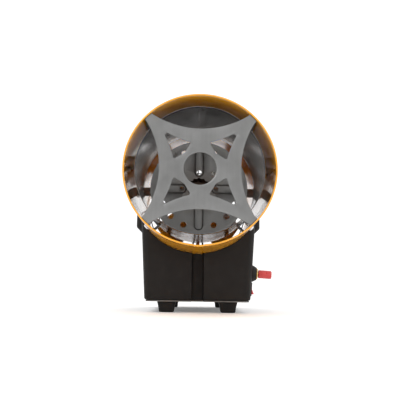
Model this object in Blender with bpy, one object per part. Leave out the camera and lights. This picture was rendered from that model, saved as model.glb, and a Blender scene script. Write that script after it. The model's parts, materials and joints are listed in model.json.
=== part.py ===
"""Portable gas-fired forced-air heater, modelled in metres with +Z up.

The air outlet faces -Y and the controls are on the right, at +X. The origin is on the floor, under the
middle of the bounding box. Every piece hangs from the empty "machine", whose X is the drum's axis.
"""

import math

import bmesh
import bpy
from mathutils import Matrix, Vector
from mathutils.geometry import delaunay_2d_cdt

MM = 0.001
GAP = 0.3 * MM  # between pieces that touch

# Driving dimensions
DRUM_R = 100 * MM
DRUM_WALL = 1.0 * MM
AXIS_Z = 189 * MM
FRONT_Y = -206 * MM
DRUM_REAR_Y = 184 * MM
REAR_Y = 206 * MM
CHAMBER_R = 85 * MM
CHAMBER_FRONT_Y = FRONT_Y + 6 * MM
CHAMBER_REAR_Y = FRONT_Y + 138 * MM
BURNER_R = 75.5 * MM
BURNER_Y = FRONT_Y + 146 * MM
BASE_FRONT_Y = -64 * MM
BASE_REAR_Y = 172 * MM
BASE_Z = 18.4 * MM
BASE_WALL = 3 * MM
BASE_HALF_X = 80.6 * MM  # at the bottom; the sides lean out by the draft above it
DRAFT = math.radians(3.6)
FLARE_Z = 120 * MM
COLLAR_Z = 132 * MM
COLLAR_TOP_Z = 158 * MM
COLLAR_HALF_X = 99.0 * MM
GROOVE_HALF_X = 9.4 * MM
GROOVE_DEPTH = 12 * MM
HANDLE_TOP_Z = 333 * MM
HANDLE_FRONT_Y = -100 * MM
HANDLE_REAR_Y = 52 * MM
BUTTON_Y, BUTTON_Z = -40 * MM, 60 * MM
BUTTON_REACH = 31.5 * MM  # how far the red button's tip stands off the side wall
SWITCH_Z = 35.8 * MM
PIEZO_Y = 8 * MM
PASSAGE_Y = 24 * MM  # where pipe and leads pass from the base into the drum
FAN_Y = 122 * MM
FAN_R = 88 * MM
BOLT_ANGLES = [math.radians(a) for a in (45, 135, 225, 315)]
BAFFLE_BOLT_Y = FRONT_Y + 50 * MM
MOTOR_BOLT_Y = 177 * MM
SCREW_HEAD = 2.2 * MM


def wall_x(z):
    """Half-width of the tapered base at height z."""
    return BASE_HALF_X + (z - BASE_Z) * math.tan(DRAFT)


BUTTON_TIP_X = wall_x(BUTTON_Z) + BUTTON_REACH * math.cos(DRAFT)
AXIS_X = -(BUTTON_TIP_X - DRUM_R - GAP - SCREW_HEAD) / 2  # centres the bounding box on the origin

for stale in list(bpy.data.objects):
    bpy.data.objects.remove(stale)


# Materials
def material(name, colour, roughness, metallic=0.0):
    made = bpy.data.materials.new(name)
    made.use_nodes = True
    shader = made.node_tree.nodes["Principled BSDF"]
    shader.inputs["Base Color"].default_value = (*colour, 1)
    shader.inputs["Roughness"].default_value = roughness
    shader.inputs["Metallic"].default_value = metallic
    made.diffuse_color = (*colour, 1)
    return made


YELLOW = material("yellow_enamel", (0.85, 0.38, 0.01), 0.25)
BLACK = material("black_plastic", (0.025, 0.022, 0.02), 0.45)
RED = material("red_plastic", (0.62, 0.03, 0.03), 0.3)
STEEL = material("sheet_steel", (0.35, 0.35, 0.35), 0.35, 1.0)
DARK_STEEL = material("dark_sheet_steel", (0.16, 0.16, 0.16), 0.45, 1.0)
ZINC = material("zinc_plate", (0.6, 0.6, 0.62), 0.3, 1.0)
BRASS = material("brass", (0.6, 0.38, 0.12), 0.3, 1.0)
COPPER = material("copper", (0.65, 0.28, 0.15), 0.3, 1.0)
CERAMIC = material("white_ceramic", (0.85, 0.83, 0.78), 0.3)
RUBBER = material("black_rubber", (0.02, 0.02, 0.02), 0.8)
WIRE = material("black_wire", (0.03, 0.03, 0.03), 0.4, 0.5)

machine = bpy.data.objects.new("machine", None)
bpy.context.scene.collection.objects.link(machine)
machine.location = (AXIS_X, 0, 0)


# Helpers
def place(name, made, finish, location=(0, 0, 0), rotation=(0, 0, 0), parent=machine):
    """Turns a bmesh into an object with smooth round faces, hanging from parent."""
    bmesh.ops.recalc_face_normals(made, faces=made.faces)
    if made.calc_volume(signed=True) < 0:
        bmesh.ops.reverse_faces(made, faces=made.faces)
    mesh = bpy.data.meshes.new(name)
    made.to_mesh(mesh)
    made.free()
    mesh.materials.append(finish)
    mesh.shade_smooth()
    mesh.set_sharp_from_angle(angle=math.radians(35))
    thing = bpy.data.objects.new(name, mesh)
    bpy.context.scene.collection.objects.link(thing)
    thing.parent = parent
    thing.location = location
    thing.rotation_euler = rotation
    return thing


def shaped(thing, kind, *tools):
    """Cuts (DIFFERENCE) or joins (UNION) helper objects, which stay hidden."""
    for tool in tools:
        tool.hide_render = True
        tool.display_type = "WIRE"
        modifier = thing.modifiers.new(kind.lower(), "BOOLEAN")
        modifier.operation = kind
        modifier.object = tool
        modifier.solver = "EXACT"
    return thing


def ring_angles(segments, extra=()):
    angles = [2 * math.pi * k / segments for k in range(segments)]
    return sorted(set(angles) | {a % (2 * math.pi) for a in extra})


def turned(profile, segments=48, bulge=None, extra=()):
    """Revolves (y, r) points about Y. A profile that starts and ends on the axis is solid, any other is a ring."""
    made = bmesh.new()
    angles = ring_angles(segments, extra)
    rows = []
    for y, r in profile:
        if r < 1e-9:
            rows.append([made.verts.new((0, y, 0))])
            continue
        row = []
        for a in angles:
            reach = r if bulge is None else bulge(a, r)
            row.append(made.verts.new((reach * math.sin(a), y, reach * math.cos(a))))
        rows.append(row)
    solid = profile[0][1] < 1e-9
    pairs = list(zip(rows, rows[1:])) + ([] if solid else [(rows[-1], rows[0])])
    count = len(angles)
    for one, two in pairs:
        for k in range(count):
            n = (k + 1) % count
            corners = [one[k % len(one)], one[n % len(one)], two[n % len(two)], two[k % len(two)]]
            made.faces.new(list(dict.fromkeys(corners)))
    return made


def lofted(loops, ring=False):
    """Skins equal-length loops of points. It is capped at both ends, or closed into a ring."""
    made = bmesh.new()
    rows = [[made.verts.new(p) for p in loop] for loop in loops]
    pairs = list(zip(rows, rows[1:])) + ([(rows[-1], rows[0])] if ring else [])
    count = len(rows[0])
    for one, two in pairs:
        for k in range(count):
            n = (k + 1) % count
            made.faces.new((one[k], one[n], two[n], two[k]))
    if not ring:
        made.faces.new(rows[0])
        made.faces.new(rows[-1])
    return made


def block(low, high, bevel=0.0):
    """A box between two corners, with its edges rounded."""
    made = bmesh.new()
    bmesh.ops.create_cube(made, size=1)
    for v in made.verts:
        v.co = Vector([(a + b) / 2 + c * (b - a) for a, b, c in zip(low, high, v.co)])
    if bevel:
        bmesh.ops.bevel(made, geom=made.edges[:], offset=bevel, segments=2, affect="EDGES", profile=0.6)
    return made


def circle(x, z, r, count=16, start=0.0):
    return [
        (x + r * math.sin(start + 2 * math.pi * k / count), z + r * math.cos(start + 2 * math.pi * k / count))
        for k in range(count)
    ]


def filleted(corners, steps=4):
    """A closed outline from (x, z, radius) corners, each rounded by an arc of that radius."""
    outline = []
    for k, (x, z, radius) in enumerate(corners):
        here = Vector((x, z))
        back = (Vector(corners[k - 1][:2]) - here).normalized()
        on = (Vector(corners[(k + 1) % len(corners)][:2]) - here).normalized()
        half = back.angle(on) / 2
        if radius <= 0 or half > math.radians(88):
            outline.append((x, z))
            continue
        centre = here + (back + on).normalized() * (radius / math.sin(half))
        first = here + back * (radius / math.tan(half)) - centre
        last = here + on * (radius / math.tan(half)) - centre
        turn = first.angle_signed(last)
        for s in range(steps + 1):
            outline.append(tuple(centre + Matrix.Rotation(-turn * s / steps, 2) @ first))
    return outline


def within(point, loop):
    x, z = point
    crossings = 0
    for (x0, z0), (x1, z1) in zip(loop, loop[1:] + loop[:1]):
        if (z0 > z) != (z1 > z) and x < x0 + (z - z0) * (x1 - x0) / (z1 - z0):
            crossings += 1
    return crossings % 2 == 1


def plate(outline, holes, low, high, dish=None):
    """A sheet between y = low and y = high from (x, z) outlines. dish(x, z) bends it by adding to y."""
    loops = [outline] + list(holes)
    points = [Vector(p) for loop in loops for p in loop]
    edges = []
    first = 0
    for loop in loops:
        edges += [(first + k, first + (k + 1) % len(loop)) for k in range(len(loop))]
        first += len(loop)
    flat, _, faces, _, _, _ = delaunay_2d_cdt(points, edges, [], 1, 1e-7)
    middles = [sum((flat[k] for k in face), Vector((0, 0))) / len(face) for face in faces]
    solid = [sum(within(m, loop) for loop in loops) % 2 == 1 for m in middles]
    faces = [face for face, keep in zip(faces, solid) if keep]
    made = bmesh.new()
    sheets = []
    for y in (low, high):
        sheets.append([made.verts.new((p.x, y + (dish(p.x, p.y) if dish else 0), p.y)) for p in flat])
    sides = {}
    for face in faces:
        for sheet in sheets:
            made.faces.new([sheet[k] for k in face])
        for k, a in enumerate(face):
            b = face[(k + 1) % len(face)]
            sides[(a, b)] = sides.get((a, b), 0) + 1
    for a, b in sides:
        if (b, a) not in sides:
            made.faces.new((sheets[0][a], sheets[0][b], sheets[1][b], sheets[1][a]))
    return made


def aimed(made, axis):
    """Turns a piece built along +Y so that it lies along X or Z."""
    turn = Matrix.Rotation(-math.pi / 2, 3, "Z") if axis == "X" else Matrix.Rotation(math.pi / 2, 3, "X")
    bmesh.ops.rotate(made, verts=made.verts[:], cent=(0, 0, 0), matrix=turn)
    return made


def tube(route, r, sides=8, bend=9 * MM):
    """A round rod along a route, its corners rounded."""
    points = [Vector(p) for p in route]
    path = [points[0]]
    for back, here, on in zip(points, points[1:], points[2:]):
        one = here + (back - here).normalized() * bend
        two = here + (on - here).normalized() * bend
        for s in range(4):
            t = s / 3
            path.append(one * (1 - t) ** 2 + here * 2 * t * (1 - t) + two * t * t)
    path.append(points[-1])
    side = (path[1] - path[0]).orthogonal().normalized()
    loops = []
    for k, p in enumerate(path):
        along = (path[min(k + 1, len(path) - 1)] - path[max(k - 1, 0)]).normalized()
        side = (side - along * side.dot(along)).normalized()
        up = along.cross(side)
        turn = [2 * math.pi * j / sides for j in range(sides)]
        loops.append([p + side * (r * math.cos(a)) + up * (r * math.sin(a)) for a in turn])
    return lofted(loops)


def hexed(a, r):
    """Radius at angle a of a hexagon on the wide part of a fitting. Its narrow parts stay round."""
    if r < 6 * MM:
        return r
    return r / math.cos((a + math.pi / 6) % (math.pi / 3) - math.pi / 6)


def screw(name, r, y, angle, head_out=True, shank=3.2 * MM):
    """A pan-head screw through the drum. Its head is outside, or inside for those that hold the handle."""
    head = [(0, 0), (0, 4), (1.2, 4), (SCREW_HEAD / MM, 2.2), (SCREW_HEAD / MM, 0)]
    sign = 1 if head_out else -1
    profile = [(r + sign * y0 * MM, r0 * MM) for y0, r0 in head[1:]]
    profile = [(r - sign * shank * 1.9, 0), (r - sign * shank * 1.9, 1.6 * MM), (r, 1.6 * MM)] + profile
    made = aimed(turned(profile, 10), "Z")
    return place(name, made, ZINC, (0, y, AXIS_Z), (0, angle, 0))


def cutter(name, made, location=(0, 0, 0), rotation=(0, 0, 0)):
    return place("cut_" + name, made, BLACK, location, rotation)


def rod(low, high, r, segments=16):
    return turned([(low, 0), (low, r), (high, r), (high, 0)], segments)


def radial_hole(name, y, angle, r=1.9 * MM):
    made = aimed(rod(80 * MM, 110 * MM, r, 12), "Z")
    bmesh.ops.rotate(made, verts=made.verts[:], cent=(0, 0, 0), matrix=Matrix.Rotation(0.19, 3, "Z"))
    return cutter(name, made, (0, y, AXIS_Z), (0, angle, 0))


ON_AXIS = (0, 0, AXIS_Z)
SIDE_ANGLES = [math.pi / 2, 3 * math.pi / 2]

# Drum: a rolled sheet, hemmed at the mouth and lapped along the bottom
inner = DRUM_R - DRUM_WALL


def drum_lap(a, r):
    lapped = r < DRUM_R - 0.9 * MM and math.pi < a < math.pi + 0.13
    return r - (0.8 * MM if lapped else 0)


drum_profile = [
    (FRONT_Y + 0.6 * MM, DRUM_R - 1.9 * MM),
    (FRONT_Y, DRUM_R - 1.3 * MM),
    (FRONT_Y, DRUM_R - 0.6 * MM),
    (FRONT_Y + 0.6 * MM, DRUM_R),
    (DRUM_REAR_Y - 0.4 * MM, DRUM_R),
    (DRUM_REAR_Y, DRUM_R - 0.4 * MM),
    (DRUM_REAR_Y, inner),
    (FRONT_Y + 5 * MM, inner),
    (FRONT_Y + 4.5 * MM, DRUM_R - 1.9 * MM),
]
drum = place("drum_shell", turned(drum_profile, 64, drum_lap), YELLOW, ON_AXIS)
for k, angle in enumerate(BOLT_ANGLES):
    shaped(drum, "DIFFERENCE", radial_hole("baffle_%d" % k, BAFFLE_BOLT_Y, angle))
    shaped(drum, "DIFFERENCE", radial_hole("motor_%d" % k, MOTOR_BOLT_Y, angle))

# Combustion chamber, held in the drum by four channel brackets
chamber_profile = [
    (CHAMBER_FRONT_Y, CHAMBER_R - 0.8 * MM),
    (CHAMBER_FRONT_Y, CHAMBER_R),
    (CHAMBER_REAR_Y, CHAMBER_R),
    (CHAMBER_REAR_Y, CHAMBER_R - 0.8 * MM),
]
place("combustion_chamber", turned(chamber_profile, 64), DARK_STEEL, ON_AXIS)
for k, degrees in enumerate((71, 132, 228, 289)):
    low = (-7 * MM, CHAMBER_REAR_Y - 30 * MM, CHAMBER_R + GAP)
    high = (7 * MM, CHAMBER_REAR_Y - 8 * MM, inner - 0.7 * MM)
    bracket = place("chamber_bracket_%d" % (k + 1), block(low, high), DARK_STEEL, ON_AXIS)
    bracket.rotation_euler = (0, math.radians(degrees), 0)
    channel = block((-5.8 * MM, low[1] - MM, low[2] + 1.2 * MM), (5.8 * MM, high[1] + MM, high[2] - 1.2 * MM))
    shaped(bracket, "DIFFERENCE", cutter("channel_%d" % k, channel, ON_AXIS, bracket.rotation_euler))

# Front baffle: a stamped cross, with its four tabs bent back along the drum
SWEEP_R, SWEEP_C = 116.4 * MM, 169.4 * MM


def rotated(point, quarter):
    x, z = point
    for _ in range(quarter):
        x, z = z, -x
    return (x, z)


baffle_outline = []
baffle_holes = [circle(0, 0, 21.4 * MM, 32)]
for quarter in range(4):
    for s in range(9):
        a = math.radians(-33.2 + 66.4 * s / 8)
        arc = (SWEEP_R * math.sin(a), SWEEP_C - SWEEP_R * math.cos(a))
        baffle_outline.append(rotated(arc, quarter))
    baffle_outline.append(rotated((64.2 * MM, 73.1 * MM), quarter))
    baffle_outline.append(rotated((73.1 * MM, 64.2 * MM), quarter))
    long_side = []
    for s in range(6):
        a = math.radians(4.87 + 16.7 * s / 5)
        reach = (135.5 - s) * MM
        long_side.append((reach * math.sin(a), SWEEP_C - reach * math.cos(a), 0))
    mirrored = [(z, x, 0) for x, z, _ in reversed(long_side[:-1])]
    window = long_side + mirrored + [(20.2 * MM, 20.2 * MM, 3 * MM)]
    rounding = {0: 2.2 * MM, 5: 3 * MM, 10: 2.2 * MM}
    window = [(x, z, rounding.get(k, r)) for k, (x, z, r) in enumerate(window)]
    baffle_holes.append([rotated(p, quarter) for p in filleted(window, 3)])
BAFFLE_Y = FRONT_Y + 6.5 * MM - 4.5 * MM
baffle = place("front_baffle", plate(baffle_outline, baffle_holes, BAFFLE_Y, BAFFLE_Y + 1.2 * MM), STEEL, ON_AXIS)
for k, angle in enumerate(BOLT_ANGLES):
    flange = block((-6.35 * MM, BAFFLE_Y + 0.1 * MM, 96.4 * MM), (6.35 * MM, BAFFLE_Y + 60 * MM, 97.5 * MM))
    shaped(baffle, "UNION", cutter("flange_%d" % k, flange, ON_AXIS, (0, angle, 0)))
    shaped(baffle, "DIFFERENCE", radial_hole("tab_hole_%d" % k, BAFFLE_BOLT_Y, angle))
    screw("baffle_screw_%d" % (k + 1), DRUM_R + GAP, BAFFLE_BOLT_Y, angle)

# Burner: pressed disc, cup, crossbar and nozzle
RIB_IN, RIB_OUT, RIB_HALF = 18.8 * MM, 65 * MM, 7.7 * MM
ELECTRODE = (23 * MM, 24 * MM)
THERMOCOUPLE = (-36.6 * MM, 54.5 * MM)


def stadium(low, high, half, depth0, depth1):
    r = half - 0.01 * MM
    ends = filleted([(-half, low, r), (-half, high, r), (half, high, r), (half, low, r)], 5)
    return plate(ends, [], depth0, depth1)


burner_outline = circle(0, 0, BURNER_R, 56)
scallop = [
    ((17 + 0.8 * math.cos(6 * a)) * MM * math.sin(a), (17 + 0.8 * math.cos(6 * a)) * MM * math.cos(a))
    for a in ring_angles(36)
]
burner_holes = [scallop, circle(*ELECTRODE, 4.4 * MM, 12), circle(*THERMOCOUPLE, 1.6 * MM, 8)]
for k in range(16):
    a = math.radians(22.5 * k)
    if k % 4:
        burner_holes.append(circle(61.1 * MM * math.sin(a), 61.1 * MM * math.cos(a), 4.7 * MM, 12))
burner = place("burner_disc", plate(burner_outline, burner_holes, BURNER_Y, BURNER_Y + 1.2 * MM), STEEL, ON_AXIS)
for k in range(4):
    turn = (0, k * math.pi / 2, 0)
    back = stadium(RIB_IN, RIB_OUT, RIB_HALF, BURNER_Y + 0.5 * MM, BURNER_Y + 3.6 * MM)
    front = stadium(RIB_IN + 1.2 * MM, RIB_OUT - 1.2 * MM, RIB_HALF - 1.2 * MM, BURNER_Y - MM, BURNER_Y + 2.4 * MM)
    shaped(burner, "UNION", cutter("rib_%d" % k, back, ON_AXIS, turn))
    shaped(burner, "DIFFERENCE", cutter("rib_groove_%d" % k, front, ON_AXIS, turn))
    hole = plate(circle(0, 26.5 * MM, 3.8 * MM, 12), [], BURNER_Y - MM, BURNER_Y + 9 * MM)
    shaped(burner, "DIFFERENCE", cutter("rib_hole_%d" % k, hole, ON_AXIS, turn))
CUP_Y = BURNER_Y + 1.5 * MM
CUP_REAR_Y = CUP_Y + 30 * MM
cup_profile = [
    (CUP_Y, 17.4 * MM),
    (CUP_Y, 18.4 * MM),
    (CUP_REAR_Y, 18.4 * MM),
    (CUP_REAR_Y, 5.4 * MM),
    (CUP_REAR_Y - MM, 5.4 * MM),
    (CUP_REAR_Y - MM, 17.4 * MM),
]
place("burner_cup", turned(cup_profile, 32), DARK_STEEL, ON_AXIS)
BAR_Y = CUP_REAR_Y + GAP
bar_outline = [(-98.2 * MM, -7 * MM), (-98.2 * MM, 7 * MM), (98.2 * MM, 7 * MM), (98.2 * MM, -7 * MM)]
bar = plate(bar_outline, [circle(0, 0, 5.4 * MM, 16)], BAR_Y, BAR_Y + 1.5 * MM)
crossbar = place("burner_crossbar", bar, DARK_STEEL, ON_AXIS)
for k, angle in enumerate(SIDE_ANGLES):
    ear = block((-7 * MM, BAR_Y, 96.7 * MM), (7 * MM, BAR_Y + 16 * MM, 98.2 * MM))
    shaped(crossbar, "UNION", cutter("ear_%d" % k, ear, ON_AXIS, (0, angle, 0)))
    shaped(crossbar, "DIFFERENCE", radial_hole("ear_hole_%d" % k, BAR_Y + 9 * MM, angle))
    shaped(drum, "DIFFERENCE", radial_hole("bar_%d" % k, BAR_Y + 9 * MM, angle))
    screw("crossbar_screw_%d" % (k + 1), DRUM_R + GAP, BAR_Y + 9 * MM, angle)
NOZZLE_Y = BAR_Y + 1.8 * MM
nozzle_profile = [
    (NOZZLE_Y - 12 * MM, 0),
    (NOZZLE_Y - 12 * MM, 3 * MM),
    (NOZZLE_Y - 8 * MM, 5 * MM),
    (NOZZLE_Y, 5 * MM),
    (NOZZLE_Y, 7.5 * MM),
    (NOZZLE_Y + 12 * MM, 7.5 * MM),
    (NOZZLE_Y + 12 * MM, 0),
]
place("gas_nozzle", turned(nozzle_profile, 18, hexed), BRASS, ON_AXIS)

# Electrode and thermocouple
ex, ez = ELECTRODE[0], AXIS_Z + ELECTRODE[1]
insulator = [(-46, 1.3), (-46, 3), (-42, 4), (-4, 4), (-4, 1.3)]
insulator = [(BURNER_Y + 40 * MM + y * MM, r * MM) for y, r in insulator]
place("electrode_insulator", turned(insulator, 12), CERAMIC, (ex, 0, ez))
rod_y = BURNER_Y - 16 * MM
place("electrode_rod", rod(rod_y, BURNER_Y + 38 * MM, 1.0 * MM, 8), STEEL, (ex, 0, ez))
tx, tz = THERMOCOUPLE[0], AXIS_Z + THERMOCOUPLE[1]
probe = [(-14, 0), (-13, 1.2), (6, 1.2), (6, 3), (26, 3), (26, 0)]
probe = [(BURNER_Y + y * MM, r * MM) for y, r in probe]
place("thermocouple", turned(probe, 12), STEEL, (tx, 0, tz))

# Motor, fan and guard
MOTOR_Y = 137 * MM
BRACKET_Y = 165 * MM
motor_profile = [(0, 6), (0, 25), (2, 27), (39, 27), (41, 25), (41, 0)]
motor_profile = [(MOTOR_Y, 0)] + [(MOTOR_Y + y * MM, r * MM) for y, r in motor_profile]
place("motor_housing", turned(motor_profile, 32), ZINC, ON_AXIS)
bracket_outline = []
for k, angle in enumerate(BOLT_ANGLES):
    u = Vector((math.sin(angle), math.cos(angle)))
    v = Vector((math.cos(angle), -math.sin(angle)))
    for along, across in ((32, -5.9), (97.3, -5.9), (97.3, 5.9), (32, 5.9)):
        bracket_outline.append(tuple(u * along * MM + v * across * MM))
    for s in (1, 2, 3):
        a = angle + math.radians(10 + 17.5 * s)
        bracket_outline.append((33 * MM * math.sin(a), 33 * MM * math.cos(a)))
spider = plate(bracket_outline, [circle(0, 0, 27.4 * MM, 32)], BRACKET_Y, BRACKET_Y + 1.5 * MM)
spider = place("motor_bracket", spider, DARK_STEEL, ON_AXIS)
for k, angle in enumerate(BOLT_ANGLES):
    ear = block((-6 * MM, BRACKET_Y + 0.1 * MM, 96.5 * MM), (6 * MM, BRACKET_Y + 17 * MM, 98.0 * MM))
    shaped(spider, "UNION", cutter("motor_ear_%d" % k, ear, ON_AXIS, (0, angle, 0)))
    shaped(spider, "DIFFERENCE", radial_hole("motor_ear_hole_%d" % k, MOTOR_BOLT_Y, angle))
    screw("motor_screw_%d" % (k + 1), DRUM_R + GAP, MOTOR_BOLT_Y, angle)
FAN_ORIGIN = (0, FAN_Y, AXIS_Z)
shaft = rod(-12 * MM, MOTOR_Y - FAN_Y - GAP, 3 * MM, 12)
place("motor_shaft", shaft, ZINC, FAN_ORIGIN)
hub_profile = [(-8, 3.3), (-8, 10), (-5, 14), (8, 14), (8, 3.3)]
place("fan_hub", turned([(y * MM, r * MM) for y, r in hub_profile], 24), BLACK, FAN_ORIGIN)
collar = [(-6 * MM, 14.4 * MM), (-6 * MM, 17 * MM), (6 * MM, 17 * MM), (6 * MM, 14.4 * MM)]
blades = place("fan_blades", turned(collar, 24), ZINC, FAN_ORIGIN)
for k, angle in enumerate(BOLT_ANGLES):
    loops = []
    for s in range(7):
        t = s / 6
        r = (16 + 72 * t) * MM
        half = (9 + 23 * math.sin(math.pi * (0.12 + 0.76 * t) / 1.35)) * MM
        pitch = math.radians(36 - 16 * t)
        rim = [(-half, 0), (0, 1.6 * MM), (half, 0), (half, 0.9 * MM), (0, 2.5 * MM), (-half, 0.9 * MM)]
        if t < 0.1:
            rim = [(x * 0.5, z) for x, z in rim]
        turn = Matrix.Rotation(pitch, 2)
        flat = [turn @ Vector(p) for p in rim]
        loops.append([(p.x, p.y, math.sqrt(max(r * r - p.x * p.x, (8 * MM) ** 2))) for p in flat])
    shaped(blades, "UNION", cutter("blade_%d" % k, lofted(loops), FAN_ORIGIN, (0, angle, 0)))


def guard_dish(x, z):
    return 19.5 * MM * (1 - (math.hypot(x, z) / (98 * MM)) ** 2)


guard_slots = []
GUARD_RINGS = [13, 29.5, 46, 62.5, 79, 95.5]
for low, high in zip(GUARD_RINGS, GUARD_RINGS[1:]):
    for k in range(8):
        r0, r1 = (low + 1.3) * MM, (high - 1.3) * MM
        edge0, edge1 = 1.3 * MM / r0, 1.3 * MM / r1
        a0 = k * math.pi / 4
        inside = [a0 + edge0 + (math.pi / 4 - 2 * edge0) * s / 3 for s in range(4)]
        outside = [a0 + edge1 + (math.pi / 4 - 2 * edge1) * s / 3 for s in range(4)]
        slot = [(r0 * math.sin(a), r0 * math.cos(a)) for a in inside]
        slot += [(r1 * math.sin(a), r1 * math.cos(a)) for a in reversed(outside)]
        guard_slots.append(slot)
guard = plate(circle(0, 0, 98 * MM, 64), guard_slots, DRUM_REAR_Y + 0.4 * MM, DRUM_REAR_Y + 2.4 * MM, guard_dish)
place("rear_guard", guard, WIRE, ON_AXIS)

# Carry handle
HANDLE_FOOT = 21 * MM
HANDLE_GRIP = 17 * MM
low_z = AXIS_Z + DRUM_R - 3 * MM
grip_z = HANDLE_TOP_Z - HANDLE_GRIP
corners = [
    (HANDLE_FRONT_Y, low_z, 0),
    (HANDLE_FRONT_Y + 8 * MM, HANDLE_TOP_Z, 14 * MM),
    (HANDLE_REAR_Y - 8 * MM, HANDLE_TOP_Z, 14 * MM),
    (HANDLE_REAR_Y, low_z, 0),
    (HANDLE_REAR_Y - HANDLE_FOOT, low_z, 0),
    (HANDLE_REAR_Y - HANDLE_FOOT - 3 * MM, grip_z, 8 * MM),
    (HANDLE_FRONT_Y + HANDLE_FOOT + 3 * MM, grip_z, 8 * MM),
    (HANDLE_FRONT_Y + HANDLE_FOOT, low_z, 0),
]
arch = filleted(corners, 5)
handle_loops = []
for x, shrink in ((-10.75, 1.2), (-9.4, 0), (9.4, 0), (10.75, 1.2)):
    centre_y, centre_z = (HANDLE_FRONT_Y + HANDLE_REAR_Y) / 2, low_z
    scale_y = 1 - shrink * MM * 2 / (HANDLE_REAR_Y - HANDLE_FRONT_Y)
    loop = []
    for y, z in arch:
        drop = shrink * MM * (z - low_z) / (HANDLE_TOP_Z - low_z)
        loop.append((x * MM, centre_y + (y - centre_y) * scale_y, z - drop))
    handle_loops.append(loop)
handle = place("handle_grip", lofted(handle_loops), BLACK)
drum_cutter = cutter("drum_seat", rod(-300 * MM, 300 * MM, DRUM_R + GAP, 64), ON_AXIS)
shaped(handle, "DIFFERENCE", drum_cutter)
for name, y in (("front", HANDLE_FRONT_Y + 10 * MM), ("rear", HANDLE_REAR_Y - 10 * MM)):
    bore = radial_hole("handle_" + name, y, 0)
    shaped(drum, "DIFFERENCE", bore)
    shaped(handle, "DIFFERENCE", bore)
    screw("handle_screw_" + name, inner - 0.8 * MM, y, 0, head_out=False, shank=5.5 * MM)


# Base housing: tapered box with a front groove, a collar and a cradle for the drum
def footprint(half_x, front, rear, z, radius):
    corners = [(-half_x, front, radius), (-half_x, rear, radius), (half_x, rear, radius), (half_x, front, radius)]
    return [(x, y, z) for x, y in filleted(corners, 4)]


def tapered(inset, z_low, z_high, radius):
    loops = []
    for z in (z_low, z_high):
        loops.append(footprint(wall_x(z) - inset, BASE_FRONT_Y + inset, BASE_REAR_Y - inset, z, radius))
    return lofted(loops)


def collar_block(inset, top):
    loops = []
    for z, half_x in ((FLARE_Z, wall_x(FLARE_Z)), (COLLAR_Z, COLLAR_HALF_X), (top, COLLAR_HALF_X)):
        loops.append(footprint(half_x - inset, -30 * MM + inset, 150 * MM - inset, z, 8 * MM - inset))
    return lofted(loops)


housing = place("base_housing", tapered(0, BASE_Z, COLLAR_TOP_Z - 20 * MM, 10 * MM), BLACK)
shaped(housing, "UNION", cutter("collar", collar_block(0, COLLAR_TOP_Z)))
cavity = cutter("cavity", tapered(BASE_WALL, BASE_Z - MM, 130 * MM, 7 * MM))
around = rod(-300 * MM, 300 * MM, DRUM_R + GAP + BASE_WALL, 64)
shaped(cavity, "DIFFERENCE", cutter("drum_clearance", around, ON_AXIS))
rib_x, rib_y = GROOVE_HALF_X + BASE_WALL, BASE_FRONT_Y + GROOVE_DEPTH + BASE_WALL
behind_groove = block((-rib_x, BASE_FRONT_Y - 9 * MM, 0), (rib_x, rib_y, 200 * MM))
shaped(cavity, "DIFFERENCE", cutter("behind_groove", behind_groove))
groove_high = (GROOVE_HALF_X, BASE_FRONT_Y + GROOVE_DEPTH, 200 * MM)
groove = block((-GROOVE_HALF_X, BASE_FRONT_Y - 9 * MM, 0), groove_high)
shaped(housing, "DIFFERENCE", drum_cutter, cavity, cutter("groove", groove))
passage = cutter("passage", aimed(rod(78 * MM, 98 * MM, 14 * MM, 24), "Z"), (0, PASSAGE_Y, 0))
shaped(housing, "DIFFERENCE", passage)
shaped(drum, "DIFFERENCE", passage)
cover_loops = []
for z in (BASE_Z - 2.3 * MM, BASE_Z - GAP):
    cover_loops.append(footprint(BASE_HALF_X - 2 * MM, BASE_FRONT_Y + 2 * MM, BASE_REAR_Y - 2 * MM, z, 8 * MM))
cover = place("base_cover", lofted(cover_loops), DARK_STEEL)
cover_groove = block((-GROOVE_HALF_X, BASE_FRONT_Y - 9 * MM, 0), groove_high)
shaped(cover, "DIFFERENCE", cutter("cover_groove", cover_groove))
for k, (x, y) in enumerate(((-47, -41), (47, -41), (-47, 149), (47, 149))):
    foot_loops = []
    for z, half in ((0, 10.4), (1.2, 11.4), (BASE_Z / MM - 2.6, 14)):
        corners = [(-half, -half, 4), (-half, half, 4), (half, half, 4), (half, -half, 4)]
        loop = filleted(corners, 3)
        foot_loops.append([(a * MM, b * MM, z * MM) for a, b in loop])
    place("foot_%d" % (k + 1), lofted(foot_loops), RUBBER, (x * MM, y * MM, 0))


# Controls, in a frame on the leaning wall: local X points out of it
def on_wall(name, made, finish, y, z, shift=0.0):
    x = wall_x(z) + shift * math.cos(DRAFT)
    return place(name, made, finish, (x, y, z - shift * math.sin(DRAFT)), (0, DRAFT, 0))


def knob(points, segments=24, bulge=None):
    return aimed(turned([(y * MM, r * MM) for y, r in points], segments, bulge), "X")


def ribbed(a, r):
    return r - (0.35 * MM if int(a / (2 * math.pi) * 48 + 0.5) % 2 else 0)


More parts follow.
